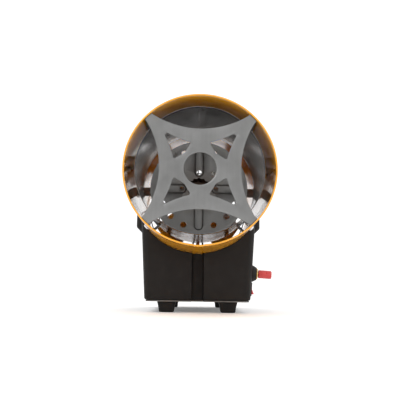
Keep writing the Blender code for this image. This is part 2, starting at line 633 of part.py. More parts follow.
shaped(housing, "DIFFERENCE", on_wall("cut_valve", knob([(-20, 0), (-20, 8.6), (9, 8.6), (9, 0)]), BLACK,
                                      BUTTON_Y, BUTTON_Z))
on_wall("valve_bezel", knob([(0.3, 8.9), (0.3, 13), (2, 13), (8, 9.6), (8, 8.9)]), BLACK, BUTTON_Y, BUTTON_Z)
on_wall("valve_nut", knob([(5, 6.7), (5, 8.3), (9.6, 8.3), (9.6, 6.7)], 12), BRASS, BUTTON_Y, BUTTON_Z)
valve = place("valve_body", block((54 * MM, BUTTON_Y - 9 * MM, BUTTON_Z - 11 * MM),
                                  (76 * MM, BUTTON_Y + 9 * MM, BUTTON_Z + 11 * MM), 1.2 * MM), BRASS)
neck = on_wall("cut_neck", knob([(-9, 0), (-9, 8.2), (4.5, 8.2), (4.5, 0)]), BRASS, BUTTON_Y, BUTTON_Z)
stem_bore = on_wall("cut_stem", knob([(-18, 0), (-18, 2.4), (9, 2.4), (9, 0)], 16), BRASS, BUTTON_Y, BUTTON_Z)
shaped(valve, "UNION", neck)
shaped(valve, "DIFFERENCE", stem_bore)
tip = BUTTON_REACH / MM
button = [(11, 0), (11, 6.25), (tip - 1.2, 6.25), (tip, 5), (tip, 0)]
on_wall("gas_button", knob(button, 48, ribbed), RED, BUTTON_Y, BUTTON_Z)
on_wall("valve_stem", knob([(-11, 0), (-11, 2), (10.7, 2), (10.7, 0)], 12), STEEL, BUTTON_Y, BUTTON_Z)

piezo_bore = on_wall("cut_piezo", knob([(-20, 0), (-20, 8.4), (9, 8.4), (9, 0)]), BLACK, PIEZO_Y, BUTTON_Z)
shaped(housing, "DIFFERENCE", piezo_bore)
piezo = [(-32, 0), (-32, 8), (0.3, 8), (0.3, 11), (3, 10.4), (3, 5.6), (-12, 5.6), (-12, 0)]
on_wall("piezo_body", knob(piezo), BLACK, PIEZO_Y, BUTTON_Z)
piezo_cap = [(-3.5, 0), (-3.5, 5.2), (8.2, 5.2), (9, 4.4), (9, 0)]
on_wall("piezo_button", knob(piezo_cap), RED, PIEZO_Y, BUTTON_Z)

switch_hole = block((-20 * MM, -6.4 * MM, -9.9 * MM), (9 * MM, 6.4 * MM, 9.9 * MM))
switch_cut = on_wall("cut_switch", switch_hole, BLACK, BUTTON_Y, SWITCH_Z)
shaped(housing, "DIFFERENCE", switch_cut)
body = block((-18 * MM, -6.1 * MM, -9.6 * MM), (1 * MM, 6.1 * MM, 9.6 * MM))
switch = on_wall("switch_body", body, BLACK, BUTTON_Y, SWITCH_Z)
rim = block((0.3 * MM, -7.4 * MM, -10.4 * MM), (2 * MM, 7.4 * MM, 10.4 * MM), 0.5 * MM)
well = block((-6 * MM, -4.9 * MM, -8.9 * MM), (9 * MM, 4.9 * MM, 8.9 * MM))
shaped(switch, "UNION", on_wall("cut_rim", rim, BLACK, BUTTON_Y, SWITCH_Z))
shaped(switch, "DIFFERENCE", on_wall("cut_well", well, BLACK, BUTTON_Y, SWITCH_Z))
rocker = []
for y in (-4.5, 4.5):
    side = [(-4.2, 0), (1.2, -8.0), (6.0, -7.4), (2.6, 0), (2.2, 7.6), (-0.6, 8.1)]
    rocker.append([(a * MM, y * MM, b * MM) for a, b in side])
on_wall("switch_rocker", lofted(rocker), RED, BUTTON_Y, SWITCH_Z)

# Gas line, leads and the parts inside the base
PIPE_R = 3 * MM
axis_route = [(0, PASSAGE_Y, AXIS_Z), (0, NOZZLE_Y + 12.3 * MM, AXIS_Z)]
gas_route = [(53.7 * MM, BUTTON_Y, BUTTON_Z), (0, BUTTON_Y, BUTTON_Z), (0, PASSAGE_Y, BUTTON_Z)] + axis_route
place("gas_pipe", tube(gas_route, PIPE_R), COPPER)
INLET_X = 45 * MM
inlet_route = [(64, -30.6, 52.5), (64, -15, 52.5), (64, 5, 45), (64, 60, 45), (45, 100, 60), (45, 155, 60)]
place("inlet_pipe", tube([tuple(c * MM for c in p) for p in inlet_route], PIPE_R), COPPER)
inlet_hole = rod(150 * MM, 200 * MM, 7.3 * MM, 24)
gland_hole = rod(150 * MM, 200 * MM, 6.3 * MM, 24)
shaped(housing, "DIFFERENCE", cutter("inlet", inlet_hole, (INLET_X, 0, BUTTON_Z)))
shaped(housing, "DIFFERENCE", cutter("gland", gland_hole, (-INLET_X, 0, BUTTON_Z)))
fitting = [(-16.7, 0), (-16.7, 7), (0.3, 7), (0.3, 10), (8, 10), (8, 8), (27, 8), (27, 4), (10, 4), (10, 0)]
fitting = [(BASE_REAR_Y + y * MM, r * MM) for y, r in fitting]
place("inlet_fitting", turned(fitting, 24), BRASS, (INLET_X, 0, BUTTON_Z))
gland = [(-12, 2.3), (-12, 6), (0.3, 6), (0.3, 9), (5, 9), (14, 6), (14, 3.6), (0, 3.6), (0, 2.3)]
gland = [(BASE_REAR_Y + y * MM, r * MM) for y, r in gland]
place("cable_gland", turned(gland, 24), BLACK, (-INLET_X, 0, BUTTON_Z))
terminal = block((-15 * MM, 60 * MM, 24 * MM), (15 * MM, 76 * MM, 38 * MM), 0.8 * MM)
place("terminal_block", terminal, CERAMIC)
leads = {
    "inner_cord": [(0, 76.4, 31), (0, 100, 31), (-45, 125, 60), (-45, 171, 60)],
    "motor_lead": [(0, 150, 161.5), (0, 150, 95), (0, 32.8, 95), (0, 32.8, 31), (0, 59.6, 31)],
    "switch_lead": [(62.5, -40, 38), (40, -40, 31), (40, 68, 31), (15.5, 68, 31)],
    "ignition_lead": [(49.5, 8, 62.3), (8, 8, 62.3), (8, 24, 62.3), (8, 24, 150), (23, 24, 213), (23, -21.4, 213)],
    "thermocouple_lead": [(-36.6, -33.5, 243.5), (-36.6, 24, 243.5), (-8, 24, 150), (-8, 24, 52),
                          (-8, -34, 52), (53.6, -34, 52)],
}
for name, route in leads.items():
    place(name, tube([tuple(c * MM for c in p) for p in route], 1.5 * MM, 6, 6 * MM), RUBBER)
grommet_profile = [(83, 11.3), (83, 13.6), (91.5, 13.6), (91.5, 11.3)]
grommet = aimed(turned([(y * MM, r * MM) for y, r in grommet_profile], 24), "Z")
place("passage_grommet", grommet, RUBBER, (0, PASSAGE_Y, 0))
thermostat = [(0, 0), (0, 8), (6, 8), (6, 5), (10, 5), (10, 0)]
thermostat = [(BAR_Y + 1.8 * MM + y * MM, r * MM) for y, r in thermostat]
place("overheat_thermostat", turned(thermostat, 20), ZINC, (60 * MM, 0, AXIS_Z))
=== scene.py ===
"""The look of the portable gas forced-air heater, built round the frame of its CAD model."""

import json
import math

import bmesh
import bpy
from mathutils import Matrix, Vector
from mathutils.geometry import delaunay_2d_cdt


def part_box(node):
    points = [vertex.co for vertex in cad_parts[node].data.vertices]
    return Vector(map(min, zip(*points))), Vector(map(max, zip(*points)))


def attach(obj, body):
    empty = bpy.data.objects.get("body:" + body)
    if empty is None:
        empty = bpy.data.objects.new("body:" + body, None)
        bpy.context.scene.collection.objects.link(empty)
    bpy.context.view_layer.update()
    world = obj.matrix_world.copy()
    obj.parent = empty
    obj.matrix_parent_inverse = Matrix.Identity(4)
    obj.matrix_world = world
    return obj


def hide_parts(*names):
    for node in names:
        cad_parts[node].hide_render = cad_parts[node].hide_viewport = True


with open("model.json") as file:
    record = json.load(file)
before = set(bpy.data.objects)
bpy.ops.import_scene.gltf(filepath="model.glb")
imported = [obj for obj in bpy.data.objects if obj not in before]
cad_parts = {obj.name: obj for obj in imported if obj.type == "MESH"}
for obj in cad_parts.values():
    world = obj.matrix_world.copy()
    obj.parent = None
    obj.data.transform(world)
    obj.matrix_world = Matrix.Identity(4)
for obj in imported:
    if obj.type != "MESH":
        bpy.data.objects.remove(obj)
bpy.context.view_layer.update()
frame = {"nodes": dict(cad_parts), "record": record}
MM = 0.001
BODY_OF = {node: body for body, nodes in frame["record"]["behaviour"]["bodies"].items() for node in nodes}
SLOT_OF = {entry["node"]: entry["material_slot"] for entry in frame["record"]["subparts"]}

# Driving dimensions, read from the frame
drum_low, drum_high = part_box("drum_shell")
DRUM_R = (drum_high.z - drum_low.z) / 2
AXIS_X = (drum_low.x + drum_high.x) / 2
AXIS_Z = (drum_low.z + drum_high.z) / 2
FRONT_Y, REAR_Y = drum_low.y, drum_high.y
WALL = 1.0 * MM
AXIS = Vector((AXIS_X, 0, AXIS_Z))
FLOOR_Z = 0.0
DRAFT = math.radians(3.6)  # lean of the base's side walls
VALVE_Z = 60 * MM  # height of the gas valve and the ignition button on the wall


# Materials
class Graph:
    """A short way to write a Principled material's nodes."""

    def __init__(self, name):
        self.material = bpy.data.materials.new(name)
        self.material.use_nodes = True
        self.tree = self.material.node_tree
        self.shader = self.tree.nodes["Principled BSDF"]
        self.place = self.add("ShaderNodeTexCoord").outputs["Object"]

    def add(self, kind, **settings):
        node = self.tree.nodes.new(kind)
        for key, value in settings.items():
            setattr(node, key, value)
        return node

    def link(self, source, target):
        self.tree.links.new(source, target)

    def stretched(self, scale):
        mapping = self.add("ShaderNodeMapping")
        mapping.inputs["Scale"].default_value = scale
        self.link(self.place, mapping.inputs["Vector"])
        return mapping.outputs["Vector"]

    def noise(self, scale, detail=4.0, stretch=(1, 1, 1), roughness=0.55):
        node = self.add("ShaderNodeTexNoise")
        node.inputs["Scale"].default_value = scale
        node.inputs["Detail"].default_value = detail
        node.inputs["Roughness"].default_value = roughness
        self.link(self.stretched(stretch), node.inputs["Vector"])
        return node.outputs["Fac"]

    def grains(self, scale):
        node = self.add("ShaderNodeTexVoronoi")
        node.inputs["Scale"].default_value = scale
        self.link(self.place, node.inputs["Vector"])
        return node.outputs["Distance"]

    def ramp(self, value, stops):
        """Colour along value. stops are (position, (r, g, b)) pairs."""
        node = self.add("ShaderNodeValToRGB")
        elements = node.color_ramp.elements
        while len(elements) < len(stops):
            elements.new(0.5)
        for element, (position, colour) in zip(elements, stops):
            element.position = position
            element.color = (*colour, 1)
        self.link(value, node.inputs["Fac"])
        return node.outputs["Color"]

    def between(self, value, low, high, start=0.3, end=0.7):
        """value, from start to end, as a number from low to high."""
        node = self.add("ShaderNodeMapRange")
        for key, number in (("From Min", start), ("From Max", end), ("To Min", low), ("To Max", high)):
            node.inputs[key].default_value = number
        self.link(value, node.inputs["Value"])
        return node.outputs["Result"]

    def along(self, axis, start, end):
        """0 to 1 along a row axis, from start to end in metres."""
        split = self.add("ShaderNodeSeparateXYZ")
        self.link(self.place, split.inputs["Vector"])
        return self.between(split.outputs[axis], 0.0, 1.0, start, end)

    def combine(self, kind, one, two):
        node = self.add("ShaderNodeMath", operation=kind)
        for socket, value in zip(node.inputs, (one, two)):
            if isinstance(value, (int, float)):
                socket.default_value = value
            else:
                self.link(value, socket)
        return node.outputs["Value"]

    def blend(self, value, one, two, kind="MIX"):
        node = self.add("ShaderNodeMix", data_type="RGBA", blend_type=kind)
        colours = [socket for socket in node.inputs if socket.type == "RGBA"]
        for socket, colour in zip(colours, (one, two)):
            if isinstance(colour, tuple):
                socket.default_value = (*colour, 1)
            else:
                self.link(colour, socket)
        if isinstance(value, (int, float)):
            node.inputs["Factor"].default_value = value
        else:
            self.link(value, node.inputs["Factor"])
        return next(socket for socket in node.outputs if socket.type == "RGBA")

    def bump(self, *layers):
        """Stacks (height, strength, distance in metres) layers."""
        normal = None
        for height, strength, distance in layers:
            node = self.add("ShaderNodeBump")
            node.inputs["Strength"].default_value = strength
            node.inputs["Distance"].default_value = distance
            self.link(height, node.inputs["Height"])
            if normal:
                self.link(normal, node.inputs["Normal"])
            normal = node.outputs["Normal"]
        self.link(normal, self.shader.inputs["Normal"])

    def finish(self, colour, roughness, **constants):
        self.link(colour, self.shader.inputs["Base Color"])
        self.link(roughness, self.shader.inputs["Roughness"])
        for key, value in constants.items():
            self.shader.inputs[key.replace("_", " ")].default_value = value
        return self.material


def enamel():
    g = Graph("yellow_enamel")
    cloud = g.noise(9, 5)
    tones = [(0.25, (0.76, 0.315, 0.004)), (0.55, (0.80, 0.345, 0.005)), (0.8, (0.84, 0.375, 0.007))]
    colour = g.ramp(cloud, tones)
    dust = g.between(g.noise(55, 8), 0.0, 0.035, 0.5, 0.78)
    colour = g.blend(dust, colour, (0.55, 0.36, 0.16))
    roughness = g.between(g.noise(30, 6), 0.15, 0.24)
    g.bump((g.noise(420, 2), 0.035, 0.0002), (g.noise(24, 2), 0.02, 0.0008))
    return g.finish(colour, roughness, Coat_Weight=0.55, Coat_Roughness=0.07, Specular_IOR_Level=0.55)


def chamber_steel():
    """Rolled steel: bright where the flame hasn't reached, brown to blue towards the burner."""
    g = Graph("chamber_steel")
    cloud = g.noise(16, 6)
    tones = [(0.3, (0.22, 0.215, 0.215)), (0.6, (0.34, 0.335, 0.34)), (0.8, (0.42, 0.415, 0.42))]
    base = g.ramp(cloud, tones)
    rear = g.along("Y", FRONT_Y + 70 * MM, FRONT_Y + 150 * MM)
    heat = g.combine("MULTIPLY", rear, g.between(g.noise(22, 5), 0.35, 1.0))
    base = g.blend(heat, base, (0.27, 0.20, 0.15))
    stain = g.between(g.noise(60, 8), 0.0, 0.5, 0.52, 0.72)
    base = g.blend(stain, base, (0.24, 0.22, 0.21))
    roughness = g.between(g.noise(26, 7), 0.13, 0.27)
    g.bump((g.noise(260, 3, (1, 0.06, 1)), 0.10, 0.0004), (g.noise(26, 2), 0.12, 0.0012))
    return g.finish(base, roughness, Metallic=0.96)


def satin_steel(name, dark, light, rough, heat_radius=None):
    """Cold-rolled sheet with faint rolling lines and soft clouds."""
    g = Graph(name)
    cloud = g.noise(24, 5)
    colour = g.ramp(cloud, [(0.28, dark), (0.72, light)])
    fine = g.noise(340, 4, (1, 1, 0.05))
    colour = g.blend(g.between(fine, 0.0, 0.10), colour, tuple(c * 0.62 for c in dark))
    if heat_radius:
        offset = g.add("ShaderNodeVectorMath", operation="SUBTRACT")
        offset.inputs[1].default_value = AXIS
        g.link(g.place, offset.inputs[0])
        flat = g.add("ShaderNodeVectorMath", operation="MULTIPLY")
        flat.inputs[1].default_value = (1, 0, 1)
        g.link(offset.outputs[0], flat.inputs[0])
        reach = g.add("ShaderNodeVectorMath", operation="LENGTH")
        g.link(flat.outputs[0], reach.inputs[0])
        wobble = g.combine("MULTIPLY_ADD", g.noise(30, 4), 0.03)
        wobble.node.inputs[2].default_value = -0.015
        span = g.combine("ADD", reach.outputs["Value"], wobble)
        hot = g.between(span, 0.85, 0.0, heat_radius * 0.35, heat_radius)
        colour = g.blend(hot, colour, (0.21, 0.185, 0.165))
    roughness = g.between(g.noise(48, 6), rough, rough + 0.14)
    g.bump((fine, 0.05, 0.0002), (g.noise(34, 3), 0.07, 0.0007))
    return g.finish(colour, roughness, Metallic=0.93)


def grained_plastic(name, dark, light, rough, grain=1500, sheen=0.5):
    """Moulded plastic: spark-eroded grain, faint flow marks and scuffs."""
    g = Graph(name)
    colour = g.ramp(g.noise(20, 5), [(0.3, dark), (0.72, light)])
    scuff = g.between(g.noise(75, 9), 0.0, 0.22, 0.56, 0.8)
    colour = g.blend(scuff, colour, tuple(c * 2.1 + 0.004 for c in light))
    roughness = g.between(g.noise(60, 6), rough - 0.07, rough + 0.09)
    g.bump((g.grains(grain), 0.32, 0.00022), (g.noise(14, 3), 0.06, 0.002))
    return g.finish(colour, roughness, Specular_IOR_Level=sheen)


def gloss_red():
    g = Graph("gloss_red")
    colour = g.ramp(g.noise(90, 4), [(0.3, (0.50, 0.032, 0.035)), (0.72, (0.64, 0.06, 0.055))])
    roughness = g.between(g.noise(160, 5), 0.24, 0.42)
    g.bump((g.noise(700, 3), 0.10, 0.0002), (g.noise(90, 3), 0.08, 0.0006))
    return g.finish(colour, roughness, Coat_Weight=0.25, Coat_Roughness=0.15)


def plated(name, dark, light, rough, stretch=(1, 1, 1)):
    """Plated or turned metal with fine tool marks and spots of tarnish."""
    g = Graph(name)
    colour = g.ramp(g.noise(85, 6), [(0.3, dark), (0.7, light)])
    tarnish = g.between(g.noise(230, 8), 0.0, 0.5, 0.55, 0.75)
    colour = g.blend(tarnish, colour, tuple(c * 0.5 for c in dark))
    roughness = g.between(g.noise(190, 5), rough, rough + 0.16)
    g.bump((g.noise(1300, 2, stretch), 0.16, 0.0002), (g.noise(120, 3), 0.08, 0.0006))
    return g.finish(colour, roughness, Metallic=0.95)


def ceramic():
    g = Graph("glazed_ceramic")
    colour = g.ramp(g.noise(110, 6), [(0.3, (0.70, 0.66, 0.57)), (0.7, (0.86, 0.84, 0.79))])
    roughness = g.between(g.noise(90, 4), 0.16, 0.34)
    g.bump((g.noise(330, 3), 0.10, 0.0004))
    return g.finish(colour, roughness, Coat_Weight=0.4, Coat_Roughness=0.1)


LOOKS = {
    "yellow_enamel": enamel(),
    "black_plastic": grained_plastic(
        "grained_black", (0.0055, 0.0043, 0.0036), (0.0095, 0.0075, 0.0064), 0.52, sheen=0.2
    ),
    "red_plastic": gloss_red(),
    "sheet_steel": satin_steel("satin_steel", (0.40, 0.40, 0.395), (0.56, 0.56, 0.555), 0.30),
    "dark_sheet_steel": satin_steel("dark_steel", (0.12, 0.115, 0.11), (0.20, 0.19, 0.18), 0.38),
    "zinc_plate": plated("zinc_plate", (0.55, 0.55, 0.56), (0.74, 0.74, 0.75), 0.22),
    "brass": plated("turned_brass", (0.50, 0.30, 0.09), (0.68, 0.45, 0.16), 0.20, (0.1, 1, 1)),
    "copper": plated("drawn_copper", (0.50, 0.20, 0.11), (0.70, 0.33, 0.19), 0.22, (1, 0.1, 1)),
    "white_ceramic": ceramic(),
    "black_rubber": grained_plastic(
        "dull_rubber", (0.016, 0.0145, 0.0135), (0.027, 0.025, 0.024), 0.72, 1100, 0.35
    ),
    "black_wire": grained_plastic("powder_coat", (0.012, 0.012, 0.012), (0.026, 0.026, 0.026), 0.42, 2600),
}
CHAMBER = chamber_steel()
DISC = satin_steel("burner_steel", (0.26, 0.255, 0.245), (0.36, 0.355, 0.345), 0.34, heat_radius=46 * MM)
BAFFLE = satin_steel("baffle_steel", (0.185, 0.185, 0.182), (0.25, 0.25, 0.247), 0.33)
CUT_EDGE = plated("cut_edge", (0.68, 0.68, 0.67), (0.86, 0.86, 0.85), 0.18)
SCORCHED = satin_steel("scorched_steel", (0.075, 0.05, 0.04), (0.15, 0.10, 0.075), 0.42)


# Pieces
def piece(name, made, nodes, look=None, smooth=35, second=None):
    """Makes a bmesh or a mesh into a piece that stands for CAD nodes and rides on their body."""
    mesh = made
    if isinstance(made, bmesh.types.BMesh):
        bmesh.ops.recalc_face_normals(made, faces=made.faces)
        mesh = bpy.data.meshes.new(name)
        made.to_mesh(mesh)
        made.free()
    thing = bpy.data.objects.new(name, mesh)
    bpy.context.scene.collection.objects.link(thing)
    slot = SLOT_OF[nodes[0]]
    mesh.materials.clear()
    mesh.materials.append(look or LOOKS[slot])
    if second:
        mesh.materials.append(second)
    mesh.shade_smooth()
    mesh.set_sharp_from_angle(angle=math.radians(smooth))
    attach(thing, BODY_OF[nodes[0]])
    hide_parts(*nodes)
    return thing


def settle(thing):
    """Replaces the piece's mesh by what its modifiers make of it."""
    graph = bpy.context.evaluated_depsgraph_get()
    made = bpy.data.meshes.new_from_object(thing.evaluated_get(graph))
    thing.modifiers.clear()
    old = thing.data
    thing.data = made
    bpy.data.meshes.remove(old)
    return thing


def softened(thing, width, segments=2, angle=32, smooth=40):
    """Rounds a piece's edges."""
    bevel = thing.modifiers.new("bevel", "BEVEL")
    bevel.width = width
    bevel.segments = segments
    bevel.limit_method = "ANGLE"
    bevel.angle_limit = math.radians(angle)
    bevel.use_clamp_overlap = True
    settle(thing)
    thing.data.shade_smooth()
    thing.data.set_sharp_from_angle(angle=math.radians(smooth))
    return thing


def refined(node, width=0.4 * MM, look=None, segments=2):
    """A copy of a CAD node with its coplanar faces joined and its edges rounded."""
    made = bmesh.new()
    made.from_mesh(frame["nodes"][node].data)
    bmesh.ops.remove_doubles(made, verts=made.verts, dist=1e-6)
    bmesh.ops.dissolve_limit(made, angle_limit=math.radians(1), verts=made.verts, edges=made.edges)
    return softened(piece(node + "_look", made, [node], look), width, segments)


def cut(thing, kind, *tools):
    for tool in tools:
        modifier = thing.modifiers.new("cut", "BOOLEAN")
        modifier.operation = kind
        modifier.object = tool
        modifier.solver = "EXACT"
    settle(thing)
    for tool in tools:
        bpy.data.objects.remove(tool)
    return thing


def helper(made, at=(0, 0, 0), turn=(0, 0, 0)):
    bmesh.ops.recalc_face_normals(made, faces=made.faces)
    mesh = bpy.data.meshes.new("helper")
    made.to_mesh(mesh)
    made.free()
    thing = bpy.data.objects.new("helper", mesh)
    bpy.context.scene.collection.objects.link(thing)
    thing.location = at
    thing.rotation_euler = turn
    return thing


def turned(profile, segments=96, at=AXIS, bulge=None, extra=()):
    """Revolves (y, r) points about a line along Y through at. One that starts on the line is solid."""
    made = bmesh.new()
    even = [2 * math.pi * k / segments for k in range(segments)]
    angles = sorted(set(even) | {a % (2 * math.pi) for a in extra})
    rows = []
    for y, r in profile:
        if r < 1e-9:
            rows.append([made.verts.new((at[0], y, at[2]))])
            continue
        row = []
        for a in angles:
            reach = bulge(a, r, y) if bulge else r
            row.append(made.verts.new((at[0] + reach * math.sin(a), y, at[2] + reach * math.cos(a))))
        rows.append(row)
    pairs = list(zip(rows, rows[1:])) + ([] if profile[0][1] < 1e-9 else [(rows[-1], rows[0])])
    for one, two in pairs:
        for k in range(len(angles)):
            n = (k + 1) % len(angles)
            corners = [one[k % len(one)], one[n % len(one)], two[n % len(two)], two[k % len(two)]]
            made.faces.new(list(dict.fromkeys(corners)))
    return made


def circle(x, z, r, count=24):
    turns = [2 * math.pi * k / count for k in range(count)]
    return [(x + r * math.sin(a), z + r * math.cos(a)) for a in turns]


def within(point, loop):
    x, z = point
    crossings = 0
    for (x0, z0), (x1, z1) in zip(loop, loop[1:] + loop[:1]):
        if (z0 > z) != (z1 > z) and x < x0 + (z - z0) * (x1 - x0) / (z1 - z0):
            crossings += 1
    return crossings % 2 == 1


def sheet(outline, holes, low, high, marks=(), bend=None, at=AXIS):
    """Sheet metal between y = low and y = high. marks are loops its faces follow, and bend(x, z) adds to y.
    The edge faces take the second material."""
    loops = [outline] + list(holes) + list(marks)
    points = [Vector(p) for loop in loops for p in loop]
    edges = []
    first = 0
    for loop in loops:
        edges += [(first + k, first + (k + 1) % len(loop)) for k in range(len(loop))]
        first += len(loop)
    flat, _, faces, _, _, _ = delaunay_2d_cdt(points, edges, [], 1, 1e-7)
    kept = []
    for face in faces:
        middle = sum((flat[k] for k in face), Vector((0, 0))) / len(face)
        if sum(within(middle, loop) for loop in [outline] + list(holes)) % 2 == 1:
            kept.append(face)
    made = bmesh.new()
    layers = []
    for y in (low, high):
        spots = [(at[0] + p.x, y + (bend(p.x, p.y) if bend else 0), at[2] + p.y) for p in flat]
        layers.append([made.verts.new(spot) for spot in spots])
    sides = set()
    for face in kept:
        for layer in layers:
            made.faces.new([layer[k] for k in face])
        sides |= {(a, face[(k + 1) % len(face)]) for k, a in enumerate(face)}
    for a, b in sides:
        if (b, a) not in sides:
            edge = made.faces.new((layers[0][a], layers[0][b], layers[1][b], layers[1][a]))
            edge.material_index = 1
    bmesh.ops.delete(made, geom=[v for v in made.verts if not v.link_faces], context="VERTS")
    return made


def lofted(loops, ring=False):
    made = bmesh.new()
    rows = [[made.verts.new(p) for p in loop] for loop in loops]
    pairs = list(zip(rows, rows[1:])) + ([(rows[-1], rows[0])] if ring else [])
    count = len(rows[0])
    for one, two in pairs:
        for k in range(count):
            n = (k + 1) % count
            made.faces.new((one[k], one[n], two[n], two[k]))
    if not ring:
        made.faces.new(rows[0])
        made.faces.new(rows[-1])
    return made


def block(low, high):
    made = bmesh.new()
    bmesh.ops.create_cube(made, size=1)
    for v in made.verts:
        v.co = Vector([(a + b) / 2 + c * (b - a) for a, b, c in zip(low, high, v.co)])
    return made


def merged(*parts):
    """Several bmeshes as one."""
    whole = bmesh.new()
    for part in parts:
        mesh = bpy.data.meshes.new("part")
        part.to_mesh(mesh)
        part.free()
        whole.from_mesh(mesh)
        bpy.data.meshes.remove(mesh)
    return whole


def filleted(corners, steps=6):
    """A closed outline from (x, z, radius) corners."""
    outline = []
    for k, (x, z, radius) in enumerate(corners):
        here = Vector((x, z))
        back = (Vector(corners[k - 1][:2]) - here).normalized()
        on = (Vector(corners[(k + 1) % len(corners)][:2]) - here).normalized()
        half = back.angle(on) / 2
        if radius <= 0 or half > math.radians(88):
            outline.append((x, z))
            continue
        centre = here + (back + on).normalized() * (radius / math.sin(half))
        first = here + back * (radius / math.tan(half)) - centre
        last = here + on * (radius / math.tan(half)) - centre
        turn = first.angle_signed(last)
        outline += [tuple(centre + Matrix.Rotation(-turn * s / steps, 2) @ first) for s in range(steps + 1)]
    return outline


def smoothstep(t):
    t = min(max(t, 0.0), 1.0)
    return t * t * (3 - 2 * t)


# Drum: rolled and hemmed mouth, lapped and spot-welded along the bottom
LAP = 0.13
SEAM = math.pi - LAP / 2


def drum_seam(a, r, y):
    step = smoothstep((a - SEAM) / 0.012) * (1 - smoothstep((a - SEAM - LAP) / 0.012))
    dimple = 0.0
    for weld in (12 * MM, 70 * MM, 130 * MM, 190 * MM, 250 * MM, 310 * MM, 365 * MM):
        gap = math.hypot((a - SEAM - LAP / 2) * DRUM_R, y - FRONT_Y - weld)
        dimple += 0.5 * MM * (1 - smoothstep(gap / (3.4 * MM)))
    return r - 0.1 * MM + 0.65 * MM * step - dimple


def hem(centre_y, centre_r, radius, start, end, steps=7):
    turns = [math.radians(start + (end - start) * s / steps) for s in range(steps + 1)]
    return [(centre_y - radius * math.cos(a), centre_r + radius * math.sin(a)) for a in turns]


def drum():
    inner = DRUM_R - WALL
    depths = [6, 8.5, 10, 11, 12, 13, 14, 15.5, 18, 30, 60, 68, 70, 72, 80, 128, 130, 132]
    depths += [188, 190, 192, 248, 250, 252, 308, 310, 312, 363, 365, 367]
    stations = [FRONT_Y + d * MM for d in depths]
    outer = [(y, DRUM_R) for y in stations]
    rear_hem = [(2 * (REAR_Y - 1 * MM) - y, r) for y, r in hem(REAR_Y - MM, DRUM_R - MM, MM, 90, -90)]
    inside = [(y, inner) for y in reversed(stations[:-1])]
    mouth = hem(FRONT_Y + 1.1 * MM, DRUM_R - 1.1 * MM, 1.1 * MM, -90, 90)
    lip = [(FRONT_Y + 3.6 * MM, DRUM_R - 2.2 * MM), (FRONT_Y + 4.6 * MM, DRUM_R - 1.6 * MM)]
    lip.append((FRONT_Y + 5 * MM, inner))
    profile = list(reversed(lip)) + mouth + [(FRONT_Y + 4 * MM, DRUM_R)] + outer + rear_hem + inside
    near = [SEAM + LAP * k / 12 for k in range(-1, 14)] + [SEAM + 0.006, SEAM + 0.012, SEAM + LAP + 0.006]
    return piece("drum", turned(profile, 160, bulge=drum_seam, extra=near), ["drum_shell"], smooth=50)


def chamber():
    low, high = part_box("combustion_chamber")
    radius = (high.z - low.z) / 2

    def seam(a, r, y):
        around = (a + math.pi) % (2 * math.pi) - math.pi
        step = smoothstep((around + 0.02) / 0.008) * (1 - smoothstep((around - 0.08) / 0.16))
        weld = math.hypot((around - 0.04) * radius, y - low.y - 9 * MM)
        ripple = 0.12 * MM * math.sin(3 * a + 0.7) + 0.08 * MM * math.sin(7 * a)
        return r - 0.25 * MM - 0.4 * MM * step + 0.4 * MM * (1 - smoothstep(weld / (2.6 * MM))) + ripple

    span = high.y - low.y
    steps = [0, 0.3 * MM / span, 0.04, 0.058, 0.068, 0.078, 0.1, 0.3, 0.5, 0.7, 0.9, 1 - 0.3 * MM / span, 1]
    outer = [(low.y + span * t, radius - (0.25 * MM if t in (0, 1) else 0)) for t in steps]
    inner = [(y, 2 * (radius - 0.4 * MM) - r) for y, r in reversed(outer)]
    extra = [-0.02 + 0.004 * k for k in range(5)] + [0.02, 0.03, 0.04, 0.05, 0.06]
    made = turned(outer + inner, 144, bulge=seam, extra=extra)
    return piece("chamber", made, ["combustion_chamber"], CHAMBER, 50)


# Front baffle
def rotated(point, quarter):
    x, z = point
    for _ in range(quarter):
        x, z = z, -x
    return (x, z)


